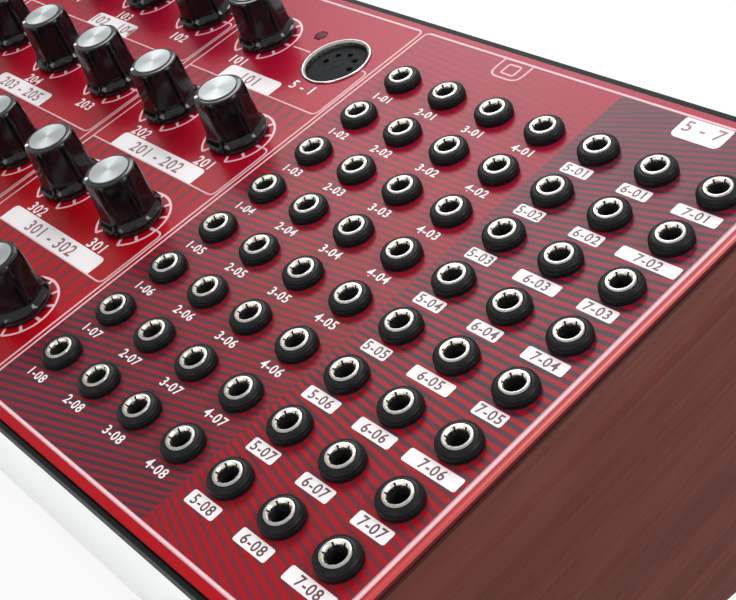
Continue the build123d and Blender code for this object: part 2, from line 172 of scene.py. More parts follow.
# Rear wall, the board behind it and the screws of the case
audio_from_board_edge = (49.0, 75.0, 101.0)
io_board_width = 330.0
midi_from_board_edge = 145.0
midi_axis_rise = 8.7287
rear_screw_side = 4.3
rear_screw_low = 8.8
rear_screw_high = 8.4
case_sheet = 1.5
cheek_screw_front = 34.0
cheek_screw_front_z = 23.5
cheek_screw_rear = 18.0
cheek_screw_rear_z = 47.5
foot_inset = 6.5

panel_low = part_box("front_panel")[0]
panel_origin = Vector((0, panel_low.y, panel_low.z + panel_thickness * mm * math.cos(slope)))
panel_turn = Matrix.Rotation(slope, 4, "X")
panel_matrix = Matrix.Translation(panel_origin) @ panel_turn @ Matrix.Scale(mm, 4)
plate_low, plate_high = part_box("rear_plate")


def cell_place(column, row):
    """Centre of one cell of the knob grid."""
    x = panel_width / 2 - grid_from_right - column * grid_pitch_x
    return x, panel_height - grid_from_rear - row * grid_pitch_v


def cells(table):
    """Centres of all the cells that a table of rows names."""
    return [cell_place(column, row) for row, columns in enumerate(table) for column in columns]


def jack_place(column, row):
    """Centre of a patchbay socket, row 0 at the rear."""
    x = panel_width / 2 - jack_from_right - (jack_columns - 1 - column) * jack_pitch_x
    return x, jack_front_row + (jack_rows - 1 - row) * jack_pitch_v


def jack_places():
    """Matrices of all the patchbay sockets."""
    columns, rows = range(jack_columns), range(jack_rows)
    return [on_panel(*jack_place(column, row)) for column in columns for row in rows]


def activate(piece):
    """Make one piece the only selected and the active one."""
    bpy.ops.object.select_all(action="DESELECT")
    piece.select_set(True)
    bpy.context.view_layer.objects.active = piece


def select_where(test):
    """In edit mode, select the vertices whose place passes the test, and the faces between them."""
    bpy.ops.mesh.select_mode(type="VERT")
    bpy.ops.mesh.select_all(action="DESELECT")
    form = bmesh.from_edit_mesh(bpy.context.edit_object.data)
    for vertex in form.verts:
        vertex.select = test(vertex.co)
    form.select_flush(True)
    bmesh.update_edit_mesh(bpy.context.edit_object.data)


def add_object(name, data):
    """New object with its data, put into the scene."""
    piece = bpy.data.objects.new(name, data)
    bpy.context.scene.collection.objects.link(piece)
    return piece


def settled(name):
    """The primitive that was just added, named, its place and size set into its mesh."""
    piece = bpy.context.active_object
    piece.name = name
    bpy.ops.object.transform_apply(location=True, rotation=True, scale=True)
    return piece


def turned(name, profile, sides, close_first=True, close_last=True):
    """Body of revolution about Z: a circle extruded along a profile of radii and heights."""
    bpy.ops.object.select_all(action="DESELECT")
    radius, height = profile[0]
    fill = "NGON" if close_first else "NOTHING"
    base = (0, 0, height)
    bpy.ops.mesh.primitive_circle_add(vertices=sides, radius=radius, location=base, fill_type=fill)
    piece = settled(name)
    bpy.ops.object.mode_set(mode="EDIT")
    bpy.ops.mesh.select_mode(type="EDGE")
    bpy.ops.mesh.select_all(action="SELECT")
    if close_first:
        bpy.ops.mesh.region_to_loop()
    for (radius, height), (next_radius, next_height) in zip(profile, profile[1:]):
        move = {"value": (0, 0, next_height - height)}
        bpy.ops.mesh.extrude_edges_move(TRANSFORM_OT_translate=move)
        share = next_radius / radius
        bpy.ops.transform.resize(value=(share, share, 1), center_override=(0, 0, next_height))
    if close_last:
        bpy.ops.mesh.edge_face_add()
    bpy.ops.mesh.select_all(action="SELECT")
    bpy.ops.mesh.remove_doubles(threshold=1e-5)
    bpy.ops.mesh.normals_make_consistent(inside=False)
    bpy.ops.object.mode_set(mode="OBJECT")
    return piece


def slab(name, width, length, low, high, edge):
    """Block centred on Z between two heights, its upright edges and its upper ones rounded."""
    bpy.ops.object.select_all(action="DESELECT")
    middle = (0, 0, (low + high) / 2)
    bpy.ops.mesh.primitive_cube_add(size=1, location=middle, scale=(width, length, high - low))
    piece = settled(name)
    bpy.ops.object.mode_set(mode="EDIT")
    select_upright_edges()
    bpy.ops.mesh.bevel(offset=edge, segments=3, affect="EDGES")
    select_where(lambda place: place.z > high - tiny)
    bpy.ops.mesh.region_to_loop()
    bpy.ops.mesh.bevel(offset=edge, segments=3, affect="EDGES")
    bpy.ops.object.mode_set(mode="OBJECT")
    return piece


def select_upright_edges():
    """In edit mode, select the edges that stand along Z."""
    bpy.ops.mesh.select_mode(type="EDGE")
    bpy.ops.mesh.select_all(action="DESELECT")
    form = bmesh.from_edit_mesh(bpy.context.edit_object.data)
    for edge in form.edges:
        a, b = (vertex.co for vertex in edge.verts)
        edge.select = abs(a.z - b.z) > tiny and (a.xy - b.xy).length < tiny
    bmesh.update_edit_mesh(bpy.context.edit_object.data)


def tile(name, width, length, height, corner):
    """Flat printed patch with rounded corners."""
    bpy.ops.object.select_all(action="DESELECT")
    bpy.ops.mesh.primitive_plane_add(size=1, location=(0, 0, height))
    bpy.ops.transform.resize(value=(width, length, 1), center_override=(0, 0, height))
    piece = settled(name)
    if corner:
        bpy.ops.object.mode_set(mode="EDIT")
        bpy.ops.mesh.select_all(action="SELECT")
        bpy.ops.mesh.bevel(offset=corner, segments=4, affect="VERTICES")
        bpy.ops.object.mode_set(mode="OBJECT")
    return piece


def copy_to(piece, matrix):
    """Copy of a piece at a place, with its own mesh."""
    copy = add_object(piece.name, piece.data.copy())
    copy.data.transform(matrix)
    return copy


def spread(piece, matrices, name):
    """Copies of a piece at several places, joined."""
    copies = [copy_to(piece, matrix) for matrix in matrices]
    bpy.data.objects.remove(piece)
    return joined(copies, name)


def joined(pieces, name):
    """Join pieces into one under a name."""
    activate(pieces[0])
    for piece in pieces:
        piece.select_set(True)
    bpy.ops.object.join()
    whole = bpy.context.active_object
    whole.name = name
    whole.data.name = name
    return whole


def smooth(piece, degrees=35.0):
    """Shade a piece smooth, but not over its sharp edges."""
    activate(piece)
    bpy.ops.object.shade_smooth_by_angle(angle=math.radians(degrees))


def dress(piece, *finishes):
    """Give a piece its materials."""
    piece.data.materials.clear()
    for finish in finishes:
        piece.data.materials.append(finish)


def turned_part(name, profile, sides, degrees, finish, close_first=True, close_last=True):
    """Body of revolution, shaded smooth and given its material."""
    piece = turned(name, profile, sides, close_first, close_last)
    smooth(piece, degrees)
    dress(piece, finish)
    return piece


def finish_piece(piece, body, slot, *covers):
    """Give a piece its body and hide the CAD nodes that it stands for; its slot is not used."""
    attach(piece, body)
    if covers:
        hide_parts(*covers)
    return piece


def lay_out(model, places, name, slot, *covers):
    """Spread a model over fixed places of the case and finish the whole."""
    finish_piece(spread(model, places, name), "case", slot, *covers)


def on_panel(x, v):
    """Matrix from a shape in millimetres to its place on the panel."""
    return panel_matrix @ Matrix.Translation((x, v, 0.0))


def at_rear(x, z):
    """Matrix from an upright shape in millimetres to its place on the rear wall, pointing out."""
    place = Matrix.Translation((x * mm, plate_high.y, z))
    return place @ Matrix.Rotation(math.radians(-90), 4, "X") @ Matrix.Scale(mm, 4)


def linear(red, green, blue):
    """Colour of 0 to 255 as it looks, turned into the linear values of a material."""
    shares = [value / 255 for value in (red, green, blue)]
    return [s / 12.92 if s <= 0.04045 else ((s + 0.055) / 1.055) ** 2.4 for s in shares] + [1.0]


def shade(colour, share, lift=0.0):
    """Linear colour made darker or lighter by a share, and lifted."""
    return [min(1.0, value * share + lift) for value in colour[:3]] + [1.0]


class Finish:
    """A material under construction: a shader and short calls that add nodes to it."""

    def __init__(self, name, rough, metal=0.0, specular=0.5):
        self.material = bpy.data.materials.new(name)
        self.material.use_nodes = True
        self.tree = self.material.node_tree
        self.shader = self.tree.nodes["Principled BSDF"]
        self.fill(self.shader, {"Roughness": rough, "Metallic": metal, "Specular IOR Level": specular})

    def node(self, kind, **values):
        """Add a node and set its plain properties."""
        node = self.tree.nodes.new(kind)
        for key, value in values.items():
            setattr(node, key, value)
        return node

    def feed(self, socket, value):
        """Link an output to a socket, or set the socket's value."""
        if hasattr(value, "links"):
            self.tree.links.new(value, socket)
        else:
            socket.default_value = value

    def fill(self, node, values):
        """Feed several inputs of a node by their names."""
        for key, value in values.items():
            self.feed(node.inputs[key], value)

    def math(self, operation, first, second=0.0, third=0.0):
        """Add a Math node and return its output."""
        node = self.node("ShaderNodeMath", operation=operation)
        for socket, value in zip(node.inputs, (first, second, third)):
            self.feed(socket, value)
        return node.outputs[0]

    def ramp(self, value, low, high, start=0.0, end=1.0, curve="SMOOTHSTEP"):
        """Map a value softly from one range to another, kept inside it."""
        node = self.node("ShaderNodeMapRange", interpolation_type=curve)
        for socket, number in zip(node.inputs, (value, low, high, start, end)):
            self.feed(socket, number)
        return node.outputs[0]

    def fade(self, value, low, high, start=0.0, end=1.0):
        """Map a value evenly from one range to another, kept inside it."""
        return self.ramp(value, low, high, start, end, "LINEAR")

    def grade(self, noise, start=0.0, end=1.0):
        """Map a noise texture's usual values to a range."""
        return self.ramp(noise, 0.3, 0.7, start, end)

    def times(self, first, second):
        """Product of two values."""
        return self.math("MULTIPLY", first, second)

    def within(self, value, low, high):
        """1 where a value lies between two limits, else 0."""
        return self.times(self.math("GREATER_THAN", value, low), self.math("LESS_THAN", value, high))

    def mix(self, share, first, second):
        """Mix two colours and return the result."""
        node = self.node("ShaderNodeMix", data_type="RGBA")
        self.feed(node.inputs[0], share)
        self.feed(node.inputs[6], first)
        self.feed(node.inputs[7], second)
        return node.outputs[2]

    def place(self, turn=(0, 0, 0), shift=(0, 0, 0)):
        """Object coordinates in millimetres, turned and shifted."""
        source = self.node("ShaderNodeTexCoord").outputs["Object"]
        mapping = self.node("ShaderNodeMapping")
        scale = (1 / mm, 1 / mm, 1 / mm)
        self.fill(mapping, {"Vector": source, "Scale": scale, "Rotation": turn, "Location": shift})
        return mapping.outputs[0]

    def stretched(self, place, scale):
        """Coordinates scaled by a different share along each axis."""
        mapping = self.node("ShaderNodeMapping")
        self.fill(mapping, {"Vector": place, "Scale": scale})
        return mapping.outputs[0]

    def split(self, place):
        """The three values of a place."""
        node = self.node("ShaderNodeSeparateXYZ")
        self.feed(node.inputs[0], place)
        return node.outputs

    def noise(self, vector, scale, detail=3.0, rough=0.5, distortion=0.0):
        """Add a noise texture and return its value."""
        node = self.node("ShaderNodeTexNoise")
        self.fill(node, {"Vector": vector, "Scale": scale, "Detail": detail})
        self.fill(node, {"Roughness": rough, "Distortion": distortion})
        return node.outputs["Fac"]

    def colour(self, value):
        """Feed the shader's colour."""
        self.feed(self.shader.inputs["Base Color"], value)

    def rough(self, value):
        """Feed the shader's roughness."""
        self.feed(self.shader.inputs["Roughness"], value)

    def bump(self, height, strength, distance):
        """Feed the shader's normal from a height."""
        node = self.node("ShaderNodeBump")
        self.fill(node, {"Strength": strength, "Distance": distance, "Height": height})
        self.feed(self.shader.inputs["Normal"], node.outputs[0])


def panel_lacquer():
    """Red lacquer of the panel, with its grey print, painted highlights on its rims beside the cheeks,
    and bare side faces whose reddish brown is partly a painted reflection of the wood.
    """
    finish = Finish("panel_lacquer", 0.28, specular=0.1)
    turn = Matrix.Rotation(-slope, 3, "X")
    shift = -(turn @ panel_origin) / mm
    place = finish.place((-slope, 0, 0), shift)
    x, v, n = finish.split(place)
    sheen = finish.noise(place, 0.02, 2.0)
    grain = finish.noise(place, 9.0, 3.0)
    front_red = finish.mix(sheen, linear(154, 4, 16), linear(166, 7, 22))
    red = finish.mix(finish.fade(v, 45.0, 125.0), front_red, linear(156, 12, 50))
    print_share = finish.math("MAXIMUM", patchbay_stripes(finish, x, v), section_bars(finish, x, v))
    printed = finish.mix(print_share, red, linear(50, 43, 54))
    # painted highlights on the rims beside the cheeks
    top = painted_edge_highlights(finish, x, v, printed)
    # side faces: bare edge, their reddish brown partly a painted reflection of the wood
    painted_reflection_side = finish.fade(n, -0.2, -0.1, 1.0, 0.0)
    finish.colour(finish.mix(painted_reflection_side, top, linear(116, 60, 58)))
    finish.rough(finish.grade(grain, 0.25, 0.32))
    finish.bump(grain, 0.1, 0.00003)
    return finish.material


def patchbay_stripes(finish, x, v):
    """Share of grey ink on the patchbay: one fan over the inputs and one over the outputs."""
    down_inputs = finish.fade(finish.math("MULTIPLY_ADD", x, 0.25, v), 45.0, 165.0, 1.0, 0.0)
    up_outputs = finish.fade(finish.math("MULTIPLY_ADD", x, -0.4, v), -75.0, 60.0)
    stripes = finish.times(finish.math("POWER", down_inputs, 0.5), 0.95)
    ground = finish.fade(down_inputs, 0.35, 1.0, 0.0, 0.5)
    inputs = fan(finish, x, v, input_fan, stripes, ground)
    stripes = finish.fade(up_outputs, 0.0, 0.4, 0.5, 0.93)
    ground = finish.math("MULTIPLY_ADD", finish.math("POWER", up_outputs, 3.0), 0.52, 0.14)
    outputs = fan(finish, x, v, output_fan, stripes, ground)
    inputs = finish.times(inputs, finish.within(x, stripes_left, zone_split))
    outputs = finish.times(outputs, finish.within(x, zone_split, stripes_right))
    rows = finish.within(v, stripes_front, stripes_rear)
    return finish.times(finish.math("ADD", inputs, outputs), rows)


def painted_edge_highlights(finish, x, v, printed):
    """Painted highlight on the rim beside each cheek, where the panel's edge catches the light, with a
    brighter painted glint line in it that grows towards the rear.
    """
    across = finish.math("ABSOLUTE", x)
    # painted highlight: a salmon strip along the edge, then a pale glint line on it
    edge_highlight = finish.mix(finish.ramp(across, 201.5, 202.2, 0.0, 0.8), printed, linear(186, 72, 70))
    from_line = finish.math("ABSOLUTE", finish.math("SUBTRACT", across, 202.5))
    to_rear = finish.ramp(v, 15.0, 100.0, 0.1, 0.9)
    edge_glint = finish.times(finish.ramp(from_line, 0.3, 0.1), to_rear)
    return finish.mix(edge_glint, edge_highlight, linear(232, 146, 142))


def fan(finish, x, v, layout, opacity, ground):
    """Even stripes along the rays from a point beside the patchbay, over a lighter even coat."""
    apex, side, pitch, start = layout
    run = finish.times(finish.math("SUBTRACT", x, apex[0]), side)
    rise = finish.math("DIVIDE", finish.math("SUBTRACT", v, apex[1]), run)
    count = finish.math("MULTIPLY_ADD", rise, 1.0 / pitch, start)
    wave = finish.math("PINGPONG", count, 0.5)
    stripe = finish.ramp(finish.math("SUBTRACT", 0.25, wave), -0.05, 0.05)
    return finish.math("MAXIMUM", finish.times(stripe, opacity), ground)


def section_bars(finish, x, v):
    """Upright bars that fade out downwards in each section of the knob field."""
    across = finish.math("FRACT", finish.math("DIVIDE", x, bar_pitch))
    bar = finish.math("LESS_THAN", across, bar_share)
    from_foot = finish.math("SUBTRACT", v, bar_foot)
    height = finish.math("FRACT", finish.math("DIVIDE", from_foot, grid_pitch_v))
    fade = finish.fade(height, 0.5, 1.0, 0.0, 0.62)
    field = finish.within(x, bars_left, bars_right)
    rows = finish.within(v, bars_front, bars_rear)
    return finish.times(finish.times(bar, fade), finish.times(field, rows))


def powder_coat(name, colour, rough, speckle, specular=0.5):
    """Even coat of paint with a fine grain."""
    finish = Finish(name, rough, specular=specular)
    place = finish.place()
    grain = finish.noise(place, 6.0, 3.0)
    cloud = finish.noise(place, 0.05, 2.0)
    finish.colour(finish.mix(cloud, colour, shade(colour, 0.93)))
    finish.rough(finish.grade(grain, rough - 0.05, rough + 0.05))
    finish.bump(grain, speckle, 0.00006)
    return finish.material


def frame_coat():
    """Black paint of the frame, its narrow strips beside the cheeks reddish brown as a painted
    reflection of the wood.
    """
    finish = Finish("frame_coat", 0.5, specular=0.08)
    place = finish.place()
    across = finish.math("ABSOLUTE", finish.split(place)[0])
    # painted reflection: the strips next to the wood take its reddish brown
    wood_reflection_strip = finish.ramp(across, panel_width / 2 + 0.1, panel_width / 2 + 0.4)
    finish.colour(finish.mix(wood_reflection_strip, linear(17, 20, 20), linear(66, 26, 24)))
    grain = finish.noise(place, 6.0, 3.0)
    finish.rough(finish.grade(grain, 0.45, 0.55))
    finish.bump(grain, 0.2, 0.00006)
    return finish.material


def cheek_wood():
    """Reddish brown open-pored wood, its grain along the panel's slope."""
    finish = Finish("cheek_wood", 0.5, specular=0.06)
    place = finish.place((-slope, 0, 0))
    long_grain = finish.stretched(place, (1.0, 0.05, 1.0))
    broad = finish.noise(long_grain, 0.12, 3.0, 0.5, 0.6)
    fine = finish.noise(long_grain, 1.4, 4.0, 0.6, 0.3)
    pores = finish.noise(long_grain, 4.5, 2.0, 0.5)
    ground = finish.mix(finish.grade(broad), linear(82, 42, 36), linear(98, 51, 44))
    streaks = finish.mix(finish.ramp(fine, 0.35, 0.7, 0.0, 0.25), ground, linear(74, 38, 34))
    pore = finish.ramp(pores, 0.58, 0.72, 0.0, 0.2)
    finish.colour(finish.mix(pore, streaks, linear(46, 24, 20)))
    finish.rough(finish.grade(fine, 0.44, 0.58))
    finish.bump(finish.times(pore, -1.0), 0.25, 0.00008)
    return finish.material


def moulded(name, colour, rough, texture=0.08, specular=0.4):
    """Moulded plastic with a faint uneven gloss."""
    finish = Finish(name, rough, specular=specular)
    place = finish.place()
    cloud = finish.noise(place, 0.8, 3.0)
    finish.colour(finish.mix(cloud, colour, shade(colour, 1.25, 0.002)))
    finish.rough(finish.grade(cloud, rough * 0.85, rough * 1.15))
    finish.bump(finish.noise(place, 5.0, 2.0), texture, 0.00005)
    return finish.material


def plated(name, colour, rough, dent_scale=8.0, dent=0.05):
    """Bright plated or turned metal with fine wear."""
    finish = Finish(name, rough, metal=1.0)
    place = finish.place()
    wear = finish.noise(place, 1.7, 4.0)
    finish.colour(finish.mix(wear, colour, shade(colour, 0.8)))
    finish.rough(finish.grade(wear, rough * 0.7, rough * 1.4))
    finish.bump(finish.noise(place, dent_scale, 2.0), dent, 0.0002 / dent_scale)
    return finish.material


def ink(name, colour):
    """Screen-printed ink, slightly uneven."""
    finish = Finish(name, 0.42)
    place = finish.place()
    cloud = finish.noise(place, 3.0, 3.0)
    finish.colour(finish.mix(cloud, colour, shade(colour, 0.9)))
    finish.bump(finish.noise(place, 12.0, 2.0), 0.05, 0.00003)
    return finish.material


def brushed_cap():
    """Spun aluminium inlay of the knobs, its fine lines running round the middle."""
    finish = Finish("brushed_cap", 0.34, metal=1.0)
    round_map = finish.node("ShaderNodeUVMap", uv_map="round_map").outputs[0]
    lines = finish.noise(finish.stretched(round_map, (1.5, 60.0, 1.0)), 1.0, 4.0, 0.6)
    finish.colour(finish.mix(lines, linear(128, 132, 133), linear(166, 170, 171)))
    finish.rough(finish.grade(lines, 0.4, 0.54))
    finish.bump(lines, 0.1, 0.00002)
    tangent = finish.node("ShaderNodeTangent", direction_type="UV_MAP", uv_map="round_map").outputs[0]
    finish.fill(finish.shader, {"Anisotropic": 0.6, "Tangent": tangent})
    return finish.material


red_lacquer = panel_lacquer()
frame_paint = frame_coat()
frame_black = powder_coat("frame_black", linear(20, 25, 24), 0.5, 0.2, 0.1)
case_paint = powder_coat("case_paint", linear(247, 250, 249), 0.5, 0.25)
wood = cheek_wood()
nut_black = moulded("nut_black", linear(15, 16, 18), 0.42, 0.08, 0.12)
ring_metal = plated("ring_metal", linear(168, 165, 161), 0.28)
# Countersink metal: a lighter copy of the ring's metal, its extra brightness a painted highlight.
lit_cone_metal = plated("lit_cone_metal", linear(226, 220, 209), 0.24, 1.1, 0.7)
knob_black = moulded("knob_black", linear(7, 6, 8), 0.14, 0.03, 0.3)
cap_metal = brushed_cap()
white_ink = ink("white_ink", linear(236, 230, 232))
line_ink = ink("line_ink", linear(238, 188, 196))
dark_ink = ink("dark_ink", linear(84, 26, 42))
faded_ink = ink("faded_ink", linear(132, 84, 98))
pointer_ink = ink("pointer_ink", linear(244, 244, 246))
bore_dark = moulded("bore_dark", linear(10, 10, 11), 0.6)
socket_plastic = moulded("socket_plastic", linear(17, 20, 24), 0.55, 0.05, 0.05)
lamp_lens = moulded("lamp_lens", linear(84, 36, 46), 0.4, 0.02, 0.05)
steel = plated("steel", linear(186, 188, 190), 0.3)
black_steel = plated("black_steel", linear(44, 45, 47), 0.38)
rubber = moulded("rubber", linear(26, 26, 27), 0.75, 0.3)
laminate = moulded("laminate", linear(26, 84, 48), 0.4)
button_plastic = moulded("button_plastic", linear(40, 40, 42), 0.4)


def patch_rings():
    """Bright bushings of the patchbay: a flat ring, a slotted countersink in a lighter copy of the
    metal as painted highlight, its slots near-black as painted shade, and a dark bore.
    """
    rim = [(2.74, 0.0), (2.74, 2.1), (2.7, 2.22), (2.62, 2.33), (2.54, 2.36), (2.18, 2.36)]
    countersink = [(2.12, 2.3), (1.94, 2.14), (1.83, 1.9), (1.72, 1.4)]
    bore = [(1.7, -3.0)]
    ring = turned("patch_ring", rim + countersink + bore, 72, close_first=False)
    bpy.ops.object.mode_set(mode="EDIT")
    notch = math.tau / 6
    slot_depth = 0.55

    def off_notch(place):
        """Angle between a place and the nearest of the six slots."""
        part = (math.atan2(place.y, place.x) + math.tau) % notch
        return abs(part - notch / 2)

    def in_slot(place):
        """Test for the vertices of the countersink that a slot takes down."""
        return place.xy.length < 2.05 and 1.2 < place.z < 2.2 and off_notch(place) < math.radians(3)

    select_where(in_slot)
    bpy.ops.transform.translate(value=(0, 0, -slot_depth))
    bpy.ops.object.mode_set(mode="OBJECT")
    smooth(ring, 25)
    dress(ring, ring_metal, bore_dark, lit_cone_metal)
    # The bore below the countersink takes the near-black plastic, and so do the six slot faces, as
    # painted shade.
    for face in ring.data.polygons:
        radius, height = face.center.xy.length, face.center.z
        if radius < 2.15 and (height < 1.3 or off_notch(face.center) < math.radians(4)):
            face.material_index = 1
        # the rest of the countersink takes the lighter metal as painted highlight
        elif radius < 2.15:
            face.material_index = 2
    shell = slab("patch_shell", 9.0, 10.5, -11.4, -2.05, 0.4)
    shell.data.transform(Matrix.Translation((0, -2.0, 0)))
    dress(shell, bore_dark)
    socket = joined([ring, shell], "patch_socket")
    lay_out(socket, jack_places(), "patch_sockets", "socket_metal", "patch_jacks")


def patch_nuts():
    """Round black nuts with a fine step in their upper edge."""
    side = [(3.95, 0.0), (4.05, 0.15), (4.05, 1.1), (4.0, 1.16), (4.0, 1.24)]
    shoulder = [(3.92, 1.55), (3.76, 1.82), (3.5, 1.98)]
    step = [(3.42, 1.94), (3.34, 2.02), (2.82, 2.12), (2.82, 0.0)]
    nut = turned_part("patch_nut", side + shoulder + step, 40, 30, nut_black, False, False)
    lay_out(nut, jack_places(), "patch_nuts", "nut_black", "jack_nuts")


def map_round(piece):
    """Give a round piece a map whose first direction runs round its axis, for the brushed grain."""
    layer = piece.data.uv_layers.new(name="round_map")
    for face in piece.data.polygons:
        middle = math.atan2(face.center.y, face.center.x)
        for loop in face.loop_indices:
            place = piece.data.vertices[piece.data.loops[loop].vertex_index].co
            turn = math.atan2(place.y, place.x)
            turn += math.tau * round((middle - turn) / math.tau)
            layer.data[loop].uv = (turn / math.tau, place.xy.length / 5)


def knob_model():
    """Knob about Z with six broad flutes, its skirt, brushed cap inlay, pointer dot and shaft."""
    skirt = [(6.8, 0.4), (7.0, 0.55), (7.0, 1.9), (6.94, 2.12), (6.78, 2.35), (6.5, 2.75)]
    wall = [(6.36, 3.0), (6.24, 3.4), (6.13, 4.2), (6.0, 6.8), (5.86, 9.5), (5.72, 11.8)]
    crown = [(5.62, 12.4), (5.45, 12.72), (5.2, 12.9), (4.6, 12.98), (4.38, 12.98), (4.36, 12.8)]
    body = turned("knob_body", skirt + wall + crown, 72)
    bpy.ops.object.mode_set(mode="EDIT")
    flute = math.tau / 6

    def off_flute(place):
        """Angle between a place and the middle of the nearest flute, in degrees."""
        part = (math.atan2(place.y, place.x) + math.tau) % flute
        return math.degrees(abs(part - flute / 2))

    for width, share in ((23, 0.982), (18, 0.978), (12, 0.982), (6, 0.99)):
        select_where(lambda place: 2.0 < place.z < 12.6 and off_flute(place) < width)
        bpy.ops.transform.resize(value=(share, share, 1), center_override=(0, 0, 0))
    bpy.ops.object.mode_set(mode="OBJECT")
    smooth(body, 28)
    dress(body, knob_black)
    cap_profile = [(4.34, 12.8), (4.34, 13.2), (4.22, 13.3), (2.8, 13.3), (1.4, 13.3), (0.1, 13.3)]
    cap = turned_part("knob_cap", cap_profile, 48, 30, cap_metal, close_first=False)
    map_round(cap)
    dot_profile = [(0.45, 12.85), (0.45, 13.06), (0.3, 13.16)]
    dot = turned_part("knob_dot", dot_profile, 12, 60, pointer_ink, close_first=False)
    pointer_turn = math.radians(-210)
    dot.data.transform(Matrix.Rotation(pointer_turn, 4, "Z") @ Matrix.Translation((0, 4.92, 0)))
    shaft = turned("knob_shaft", [(2.9, -4.0), (2.9, 0.5)], 16)
    dress(shaft, steel)
    return joined([body, cap, dot, shaft], "knob")


def ride_copies(model, places, body, slot):
    """Copy a model to its places, each copy on a body of its own that carries its number."""
    for number, (x, v) in enumerate(places, 1):
        piece = copy_to(model, on_panel(x, v))
        node = body.format(number)
        piece.name = node + "_dressed"
        finish_piece(piece, node, slot, node)
    bpy.data.objects.remove(model)


def knobs():
    """Every knob, each on its own body."""
    ride_copies(knob_model(), cells(knob_cells), "knob_{:02d}", "knob_black")


def buttons():
    """Push buttons with a domed top."""
    profile = [(2.6, -4.1), (2.6, 2.2), (2.45, 2.5), (2.0, 2.64), (1.0, 2.72)]
    model = turned_part("button", profile, 24, 40, button_plastic)
    ride_copies(model, cells(button_cells), "button_{}", "button_cap")


def lamps():
    """Low lenses of the indicator lamps, nearly flush with the panel."""
    profile = [(1.5, -11.0), (1.5, -0.05), (1.3, 0.05), (0.8, 0.12), (0.3, 0.14)]
    lens = turned_part("lamp", profile, 20, 50, lamp_lens)
    places = [on_panel(x, v + button_lamp_rise) for x, v in cells(button_cells)]
    socket_x, socket_v = cell_place(0, 0)
    beside_socket = socket_x - socket_lamp_side_share * grid_pitch_x
    places.append(on_panel(beside_socket, socket_v + socket_lamp_rise))
    lay_out(lens, places, "lamps_dressed", "lamp", "indicator_lamps")


def round_sockets():
    """The two five-pin sockets: bright shell, black insert with its pin holes and key notch."""
    flange = [(8.3, 0.0), (8.3, 0.28), (8.2, 0.42), (8.05, 0.46), (7.9, 0.42)]
    barrel = [(7.46, 0.04), (7.42, -0.1), (7.3, -1.0), (7.3, -6.0)]
    shell = turned_part("midi_shell", flange + barrel, 64, 30, ring_metal, False, False)
    insert = turned("midi_insert", [(7.1, -6.0), (7.28, -1.9), (7.28, -1.05), (7.16, -0.92)], 64)
    hole_circle = 4.1
    holes = []
    for step in range(5):
        turn = math.radians(90 + (step - 2) * 45)
        hole = turned(f"midi_hole_{step}", [(0.75, -3.0), (0.75, 0.5)], 16)
        middle = (hole_circle * math.cos(turn), hole_circle * math.sin(turn), 0)
        hole.data.transform(Matrix.Translation(middle))
        holes.append(hole)
    notch = turned("midi_notch", [(1.2, -3.0), (1.2, 0.5)], 20)
    notch.data.transform(Matrix.Translation((0, -7.4, 0)))
    cut(insert, joined(holes + [notch], "midi_cutter"))
    smooth(insert, 30)
    dress(insert, socket_plastic)
    rear_x = io_board_width / 2 - midi_from_board_edge
    rear_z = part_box("midi_shells")[0].z + midi_axis_rise * mm
    places = [on_panel(*cell_place(0, 0)), at_rear(rear_x, rear_z)]
    lay_out(shell, places, "midi_shells_dressed", "socket_metal", "midi_shells")
    lay_out(insert, places, "midi_inserts_dressed", "component_black", "midi_inserts")


def cut(piece, cutter):
    """Take one shape out of another."""
    activate(piece)
    step = piece.modifiers.new("cut", "BOOLEAN")
    step.operation = "DIFFERENCE"
    step.solver = "EXACT"
    step.object = cutter
    bpy.ops.object.modifier_apply(modifier=step.name)
    bpy.data.objects.remove(cutter)


def rounded_path(points, radius, closed):
    """Points of a line with an arc of a radius at each of its corners."""
    path = []
    count = len(points)
    for index, point in enumerate(points):
        here = Vector(point)
        if not closed and index in (0, count - 1):
            path.append(here)
            continue
        before = (Vector(points[index - 1]) - here).normalized()
        after = (Vector(points[(index + 1) % count]) - here).normalized()
        for step in range(6):
            share = step / 5
            start = here + before * radius * (1 - share) ** 2
            path.append(start + after * radius * share ** 2)
    return path


def line(name, points, width, closed=False, radius=border_corner):
    """Thin printed line along a path in the panel's own millimetres."""
    path = rounded_path(points, radius, closed)
    curve = bpy.data.curves.new(name, "CURVE")
    curve.dimensions = "3D"
    curve.bevel_depth = width / 2
    curve.bevel_resolution = 0
    spline = curve.splines.new("POLY")
    spline.points.add(len(path) - 1)
    for target, place in zip(spline.points, path):
        target.co = (place.x, place.y, 0, 1)
    spline.use_cyclic_u = closed
    activate(add_object(name, curve))
    bpy.ops.object.convert(target="MESH")
    piece = bpy.context.active_object
    flat = Matrix.Diagonal((1, 1, ink_thickness_share, 1))
    piece.data.transform(Matrix.Translation((0, 0, ink_lift)) @ flat)
    return piece


def frame_line(left, right, low, high, name):
    """Closed line round a field, wider along the panel's edges than between two fields."""
    ring = [(left, low), (right, low), (right, high), (left, high)]
    pieces = [line(name, ring, divider_width, True)]
    for edge, v in (("front", low), ("rear", high)):
        ends = [(left + border_inset, v), (right - border_inset, v)]
        pieces.append(line(f"{name}_{edge}", ends, border_width))
    return joined(pieces, name)


